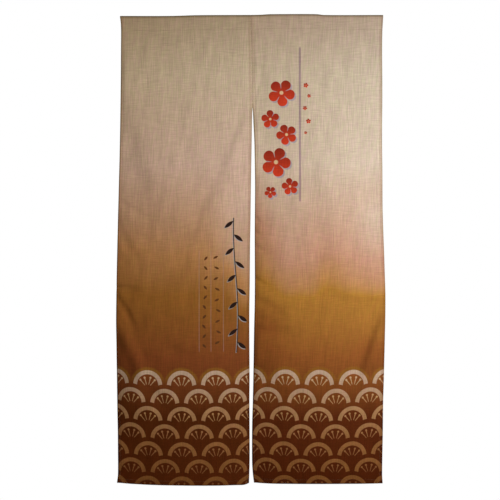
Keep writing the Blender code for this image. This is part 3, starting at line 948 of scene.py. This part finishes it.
# %% Leaves and the sprig
Sprig = namedtuple("Sprig", "across top bottom lean stem leaf_pitch leaf_length leaf_width tilt colour")
SPRIG = Sprig(-47, 648, 1078, 7, 1.4, 43, 36, 12, 38, "#2a1c18")
SPRIG_SHADOW = Sprig(-49, 650, 1080, 7, 1.4, 43, 36, 12, 38, "#a29896")
SMALL_LEAVES = (
    Sprig(-146, 762, 1066, 3, 0.0, 31, 17, 7, 50, "#5c381e"),
    Sprig(-107, 757, 1056, -3, 0.0, 34, 18, 7, 28, "#5c381e"),
)
STEM_WAVE = 2.6                     # the stem bends in a sine, one wave to this many half lengths
LEAF_FOOT = 1.0                     # leaves start this far from a stem
LEAF_GATHER = 0.35                  # without one they gather on its line, by this share of a leaf


def draw_leaves(add, sprig, off_stem, down):
    """The dye mask of a sprig's leaves, which stand on either side of its stem by turns."""
    leaves = add("Math", (down, 1 / sprig.leaf_pitch, -sprig.top / sprig.leaf_pitch),
                 operation="MULTIPLY_ADD")
    odd = add("Math", (add("Math", (leaves,), operation="FLOOR"), 2.0), operation="FLOORED_MODULO")
    direction = add("Math", (odd, 2.0, -1.0), operation="MULTIPLY_ADD")
    outward = add("Math", (off_stem, direction), operation="MULTIPLY")
    lower = add("Math", (past_middle(add, leaves), sprig.leaf_pitch), operation="MULTIPLY")
    tilt = math.radians(sprig.tilt)
    foot = LEAF_FOOT if sprig.stem else -LEAF_GATHER * sprig.leaf_length
    reach = foot + sprig.leaf_length / 2 * math.cos(tilt)
    leaf = add("Mapping", {
        "Vector": add("CombineXYZ", (outward, lower)), "Location": (reach, 0, 0),
        "Rotation": (0, 0, tilt), "Scale": (sprig.leaf_length / 2, sprig.leaf_width / 2, 1),
    }, vector_type="TEXTURE")
    axes = add("SeparateXYZ", (add("VectorMath", (leaf,), operation="ABSOLUTE"),))
    bulge = add("Math", (axes.outputs["X"], 2.0), operation="POWER")
    outline = add("Math", (axes.outputs["Y"], bulge), operation="ADD")
    return dyed_within(add, outline, 1.0, 2 * PRINT_BLEED / sprig.leaf_width)


def draw_sprig(add, sprig, colour, across, down):
    """The cloth's colour with a stem and alternate leaves printed over it."""
    middle, half = (sprig.top + sprig.bottom) / 2, (sprig.bottom - sprig.top) / 2
    wave = 2 * math.pi / (STEM_WAVE * half)
    turns = add("Math", (down, wave, -sprig.top / half), operation="MULTIPLY_ADD")
    bend = add("Math", (add("Math", (turns,), operation="SINE"), sprig.lean, sprig.across),
               operation="MULTIPLY_ADD")
    off_stem = add("Math", (across, bend), operation="SUBTRACT")
    mask = draw_leaves(add, sprig, off_stem, down)
    if sprig.stem:
        stem = add("Math", (off_stem,), operation="ABSOLUTE")
        mask = add("Math", (mask, dyed_within(add, stem, sprig.stem)), operation="MAXIMUM")
    between = dyed_within(add, away_from(add, down, middle), half)
    mask = add("Math", (mask, between), operation="MULTIPLY")
    return add("Mix", {0: mask, 6: colour, 7: sprig.colour}, data_type="RGBA")


# %% [markdown]
# ## The threads
#
# Slub yarn is spun unevenly, so thicker stretches of thread show as fine streaks, more down the
# cloth than across. They take up more dye and stand a little proud. Noise that is squeezed across
# and stretched along the thread makes them. A real slub is under 1 mm wide and some centimetres
# long. It is drawn 2 mm wide here, so that it survives in a picture whose pixels are 3 mm wide.
# The weave between slubs is drawn at 1.4 mm, three threads in one, because a finer one would only
# flicker.

# %% Slubs and weave
Slub = namedtuple("Slub", "length width contrast")
WARP_SLUB = Slub(60.0, 2.0, 0.15)
WEFT_SLUB = Slub(40.0, 2.0, 0.11)
MOTTLE_LENGTH, MOTTLE_WIDTH = 24.0, 8.0
MOTTLE_TINTS = ((0.3, "#fff9fe"), (0.7, "#fbfff6"))     # the dye takes a little unevenly
STAGGER = 0.618                     # of a slub's length, from one thread to the next
WEAVE_PITCH = 1.4
WEAVE_HEIGHT = 0.25                 # beside 1 for the slubs


def along_thread(add, along, beside, length, width):
    """Where a point lies along its thread and beside it, in slubs.

    Each thread's slubs start a little further on than its neighbour's, so the noise shows no grid.
    """
    thread = add("Math", (beside, 1 / width), operation="MULTIPLY")
    start = add("Math", (thread, STAGGER), operation="MULTIPLY")
    return add("CombineXYZ", (add("Math", (along, 1 / length, start), operation="MULTIPLY_ADD"), thread))


def draw_slubs(add, slub, along, beside):
    """How thick the threads of one direction are, and how bright that makes them."""
    place = along_thread(add, along, beside, slub.length, slub.width)
    thick = add("TexNoise", {"Vector": place, "Scale": 1.0, "Detail": 2.0, "Roughness": 0.6},
                noise_dimensions="2D")
    return thick, add("MapRange", (thick, 0.3, 0.7, 1 - slub.contrast, 1 + slub.contrast))


def draw_threads(add, across, down):
    """How bright the threads are, from about 0.9 to 1.1, a faint tint, and how proud they stand."""
    warp, bright_warp = draw_slubs(add, WARP_SLUB, down, across)
    weft, bright_weft = draw_slubs(add, WEFT_SLUB, across, down)
    brightness = add("Math", (bright_warp, bright_weft), operation="MULTIPLY")
    blotches = along_thread(add, down, across, MOTTLE_LENGTH, MOTTLE_WIDTH)
    mottle = add("TexNoise", {"Vector": blotches, "Scale": 1.0, "Detail": 1.0}, noise_dimensions="2D")
    tint = add("ValToRGB", (mottle,))
    fill_ramp(tint, MOTTLE_TINTS, 1.0)
    turns = 2 * math.pi / WEAVE_PITCH
    ridges = [add("Math", (add("Math", (axis, turns), operation="MULTIPLY"),), operation="SINE")
              for axis in (across, down)]
    weave = add("Math", tuple(ridges), operation="MULTIPLY")
    slubs = add("Math", (warp, weft), operation="ADD")
    relief = add("Math", (weave, WEAVE_HEIGHT, slubs), operation="MULTIPLY_ADD")
    return brightness, tint, relief


# %% [markdown]
# ## The cloth's two sides
#
# The material is a matt slub polyester, plain woven and transfer printed. To the eye it is dry
# and rough, with almost no gloss, so its dark dyes stay deep. Where it is doubled, in the side
# and bottom hems, less light comes through and it looks a little darker. The dye hardly reaches
# the back, so the reverse shows the same print, paler. The two marks made with the cloth's points
# are read here as attributes.

# %% Printed face and reverse
CLOTH_ROUGHNESS = 0.88
CLOTH_SPECULAR = 0.03
THREAD_RELIEF = 0.22                # millimetres
RELIEF_STRENGTH = 0.6
EDGE_SHADE_COLOUR = "#a29870"               # painted shade: a turned edge is darker where it rounds away from the light
DOUBLED_TINT = "#faf6f5"            # doubled cloth lets less light through, so it looks darker
REVERSE_CLOTH = "#c9b8a2"
REVERSE_FADE = 0.42


def print_colour(add, panel, place, across, down):
    """Everything that is printed on one panel, as a colour."""
    colour = draw_ground(add, panel, place, across, down)
    colour = draw_half_wheels(add, panel, colour, across, down)
    for rule in RULES:
        if rule.panel == panel:
            colour = draw_rule(add, rule, colour, across, down)
    if panel == "right":
        for blossom in BLOSSOMS + BUDS:
            colour = draw_blossom(add, blossom, colour, place)
    else:
        for sprig in (SPRIG_SHADOW, SPRIG, *SMALL_LEAVES):
            colour = draw_sprig(add, sprig, colour, across, down)
    return colour


def printed_slub_polyester(panel, side):
    """The woven material of one panel's printed face, or of its reverse."""
    material, add = start_material(f"printed slub polyester, {panel} {side}")
    flat = add("UVMap", uv_map="print")
    place = add("VectorMath", (flat, (1 / MM, 1 / MM, 0)), operation="MULTIPLY")
    axes = add("SeparateXYZ", (place,))
    across, down = axes.outputs["X"], axes.outputs["Y"]
    colour = print_colour(add, panel, place, across, down)
    if side == "reverse":
        colour = add("Mix", {0: REVERSE_FADE, 6: colour, 7: REVERSE_CLOTH}, data_type="RGBA")
    brightness, tint, relief = draw_threads(add, across, down)
    colour = add("Mix", {0: 1.0, 6: colour, 7: tint}, data_type="RGBA", blend_type="MULTIPLY")
    # the first mark paints shade along the turned edges, the second darkens doubled cloth
    for mark, shade in (("painted_edge_shade", EDGE_SHADE_COLOUR), ("doubled", DOUBLED_TINT)):
        share = add("Attribute", attribute_name=mark).outputs["Fac"]
        colour = add("Mix", {0: share, 6: colour, 7: shade}, data_type="RGBA", blend_type="MULTIPLY")
    colour = add("VectorMath", {0: colour, "Scale": brightness}, operation="SCALE")
    bump = add("Bump", {"Strength": RELIEF_STRENGTH, "Distance": THREAD_RELIEF * MM, "Height": relief})
    shader = material.node_tree.nodes["Principled BSDF"]
    material.node_tree.links.new(colour.outputs[0], shader.inputs["Base Color"])
    material.node_tree.links.new(bump.outputs[0], shader.inputs["Normal"])
    shader.inputs["Roughness"].default_value = CLOTH_ROUGHNESS
    shader.inputs["Specular IOR Level"].default_value = CLOTH_SPECULAR
    print(f"{material.name}: {len(material.node_tree.nodes)} nodes")
    return material


cloths = {}
for panel in ("left", "right"):
    sides = [printed_slub_polyester(panel, side) for side in ("face", "reverse")]
    cloths[panel] = make_cloth(panel, sides)

# %% [markdown]
# ## The stitching
#
# Every turned edge is held by a lockstitch: short stitches in a row, front and back, each one
# sinking into the cloth at both ends. At 3.2 mm a stitch there are over two thousand to a panel,
# so each is only a small rounded capsule. A row is made as a straight line of copies, and its
# points are then laid along the hanging cloth.

# %% One row of stitches
STITCH_PITCH = 3.2
STITCH_LENGTH = 2.5
STITCH_WIDTH = 0.5
STITCH_PROUD = 0.12                 # how high the middle of a stitch stands over the cloth


def straight_row(length):
    """A row of capsule stitches along +X from the origin, as a mesh under edit."""
    edit = bmesh.new()
    shape = Matrix.Diagonal((STITCH_LENGTH, STITCH_WIDTH, STITCH_WIDTH, 1.0))
    bmesh.ops.create_icosphere(edit, subdivisions=1, radius=0.5, matrix=shape)
    one = list(edit.verts) + list(edit.edges) + list(edit.faces)
    bmesh.ops.translate(edit, verts=list(edit.verts), vec=(STITCH_PITCH / 2, 0, 0))
    for i in range(1, int(length / STITCH_PITCH)):
        copied = bmesh.ops.duplicate(edit, geom=one)["geom"]
        moved = [part for part in copied if isinstance(part, bmesh.types.BMVert)]
        bmesh.ops.translate(edit, verts=moved, vec=(i * STITCH_PITCH, 0, 0))
    return edit


# %% Lay the rows on a panel
Seam = namedtuple("Seam", "across_from across_to level_from level_to back")
ROW_END = 3.0                       # a row of stitches starts and ends this far in from an edge
FOOT_END = 2.0                      # and a side hem's row this far above the bottom fold


def seam_lines():
    """The stitch lines of one panel: sleeve, two side hems and bottom hem, front and back."""
    inside = PANEL_WIDTH - HEM_STITCH
    start, foot = -SLEEVE_HEIGHT - ROW_END, -CLOTH_LENGTH + FOOT_END
    lines = (
        (ROW_END, PANEL_WIDTH - ROW_END, -SLEEVE_HEIGHT, -SLEEVE_HEIGHT),
        (HEM_STITCH, HEM_STITCH, start, foot),
        (inside, inside, start, foot),
        (ROW_END, PANEL_WIDTH - ROW_END, HEM_LEVEL, HEM_LEVEL),
    )
    return [Seam(*line, back) for line in lines for back in (False, True)]


def lay_row(panel, seam, edit):
    """Move a straight row's points on to the hanging cloth."""
    run = np.array((seam.across_to - seam.across_from, seam.level_to - seam.level_from))
    run = run / np.hypot(*run)
    places = np.array([vert.co for vert in edit.verts])
    from_left = seam.across_from + places[:, 0] * run[0] - places[:, 1] * run[1]
    level = seam.level_from + places[:, 0] * run[1] + places[:, 1] * run[0]
    x, y, z = front_face(panel, from_left, level)
    up = places[:, 2] + STITCH_PROUD
    if seam.back:
        edge = np.minimum(from_left, PANEL_WIDTH - from_left)
        turned = (level > -SLEEVE_HEIGHT - SLEEVE_FLAP) | (level < HEM_LEVEL + 1.5)
        y = y + np.where(turned, turned_depth(edge), LAYER) + up
    else:
        y = y - up
    for vert, point in zip(edit.verts, np.stack([x, y, z], axis=-1) * MM):
        vert.co = point
    if seam.back:
        bmesh.ops.reverse_faces(edit, faces=edit.faces)


def make_stitching(panel, thread):
    """All the stitches of one panel as one piece."""
    whole = bmesh.new()
    for seam in seam_lines():
        length = math.hypot(seam.across_to - seam.across_from, seam.level_to - seam.level_from)
        row = straight_row(length)
        lay_row(panel, seam, row)
        mesh = bpy.data.meshes.new("row")
        row.to_mesh(mesh)
        row.free()
        whole.from_mesh(mesh)
        bpy.data.meshes.remove(mesh)
    bmesh.ops.recalc_face_normals(whole, faces=whole.faces)
    print(f"{panel} stitching: {len(whole.faces)} faces")
    return finish_mesh(f"{panel}_stitching", whole, [thread])


# %% [markdown]
# ## Thread
#
# The thread is spun polyester, two plies twisted together, in a mid brown. On the beige cloth its
# rows show as thin dark lines, and in the brown foot of the print they disappear.

# %% Sewing thread
THREAD_COLOUR, THREAD_LIGHT = "#6b5038", "#7d6248"
THREAD_TWIST = 0.5                  # millimetres of one turn
THREAD_RIDGE = 0.08                 # how proud a ply stands
WAVE_BANDS = 20                     # bands that the wave texture draws in one unit at scale 1


def spun_sewing_thread():
    """Two-ply polyester thread, with its twist as fine oblique ridges."""
    material, add = start_material("spun polyester thread")
    where = add("TexCoord").outputs["Object"]
    scale = 1 / (WAVE_BANDS * THREAD_TWIST * MM)
    twist = add("TexWave", {"Vector": where, "Scale": scale, "Distortion": 1.0}, bands_direction="DIAGONAL")
    shade = add("Mix", {0: twist, 6: THREAD_COLOUR, 7: THREAD_LIGHT}, data_type="RGBA")
    bump = add("Bump", {"Strength": 0.5, "Distance": THREAD_RIDGE * MM, "Height": twist})
    shader = material.node_tree.nodes["Principled BSDF"]
    material.node_tree.links.new(shade.outputs[2], shader.inputs["Base Color"])
    material.node_tree.links.new(bump.outputs[0], shader.inputs["Normal"])
    shader.inputs["Roughness"].default_value = 0.6
    return material


thread = spun_sewing_thread()
stitching = {panel: make_stitching(panel, thread) for panel in cloths}

# %% [markdown]
# ## Tie the pieces to the frame
#
# The curtain has no joints, so everything rides on the one body. Each cloth stands for its panel and for its
# half of the sleeve.

# %% Ride and replace
for panel, (cloth, flat) in cloths.items():
    sewn = stitching[panel]
    for piece in (cloth, sewn):
        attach(piece, "root")
    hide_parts(f"{panel}_panel", f"{panel}_sleeve")

# %% [markdown]
# ## Floor and light
#
# The curtain hangs 25 cm over a pale floor that lies below the picture. The photograph's light is
# soft and comes from the right, so the right panel is brighter than the left and each fold has a
# light and a dark side. One large lamp does that, with a bright room around it, some light back
# from the floor, and a weaker lamp behind that keeps the reverse readable.

# %% Floor
FLOOR_LEVEL = -1.75                 # metres, like all of the stage
FLOOR_RADIUS = 0.9
FLOOR_GRAIN = 60.0                  # patches to a metre, far coarser than paint, to keep it soft


def make_floor():
    """A round pale floor under the curtain."""
    edit = bmesh.new()
    bmesh.ops.create_circle(edit, cap_ends=True, segments=96, radius=FLOOR_RADIUS)
    bmesh.ops.translate(edit, verts=edit.verts, vec=(0, 0, FLOOR_LEVEL))
    material, add = start_material("pale painted floor")
    where = add("TexCoord").outputs["Object"]
    grain = add("TexNoise", {"Vector": where, "Scale": FLOOR_GRAIN, "Detail": 4.0})
    shade = add("Mix", {0: grain, 6: "#dcdad6", 7: "#e6e4e0"}, data_type="RGBA")
    shader = material.node_tree.nodes["Principled BSDF"]
    material.node_tree.links.new(shade.outputs[2], shader.inputs["Base Color"])
    shader.inputs["Roughness"].default_value = 0.7
    floor = finish_mesh("floor", edit, [material])
    return floor


make_floor()

# %% Lamps and surroundings
LAMP_TARGET = Vector((0.0, 0.0, -0.75))     # the curtain's middle
Lamp = namedtuple("Lamp", "name place size power colour")
LAMPS = (
    Lamp("window from the right", (1.55, -1.70, -0.05), 1.1, 46.0, "#ffffff"),
    Lamp("bounce from the floor", (1.5, -1.4, -1.6), 0.8, 7.0, "#ffffff"),
    Lamp("bounce behind", (-1.0, 2.4, 0.2), 1.8, 22.0, "#fff8f0"),
)
ROOM_STRENGTH, ROOM_COLOUR = 0.245, "#fff8f0"


def add_lamp(lamp):
    """A large square area lamp that looks at the curtain's middle."""
    light = bpy.data.lights.new(lamp.name, "AREA")
    light.shape = "SQUARE"
    light.size = lamp.size
    light.energy = lamp.power
    light.color = from_hex(lamp.colour)[:3]
    holder = bpy.data.objects.new(lamp.name, light)
    holder.location = lamp.place
    holder.rotation_euler = (LAMP_TARGET - Vector(lamp.place)).to_track_quat("-Z", "Y").to_euler()
    bpy.context.scene.collection.objects.link(holder)


def light_surroundings():
    """Soft light from all around, behind a background that shows plain white."""
    world = bpy.data.worlds.new("bright room")
    world.use_nodes = True
    bpy.context.scene.world = world
    add = partial(add_node, world.node_tree)
    room = add("Background", (ROOM_COLOUR, ROOM_STRENGTH))
    white = add("Background", ("#ffffff", 1.0))
    seen = add("LightPath").outputs["Is Camera Ray"]
    both = add("MixShader", (seen, room, white))
    world.node_tree.links.new(both.outputs[0], world.node_tree.nodes["World Output"].inputs["Surface"])


for lamp in LAMPS:
    add_lamp(lamp)
light_surroundings()
print(f"{len(LAMPS)} lamps, and a floor {-FLOOR_LEVEL} m below the top fold")
bpy.context.scene.view_settings.view_transform = "Standard"
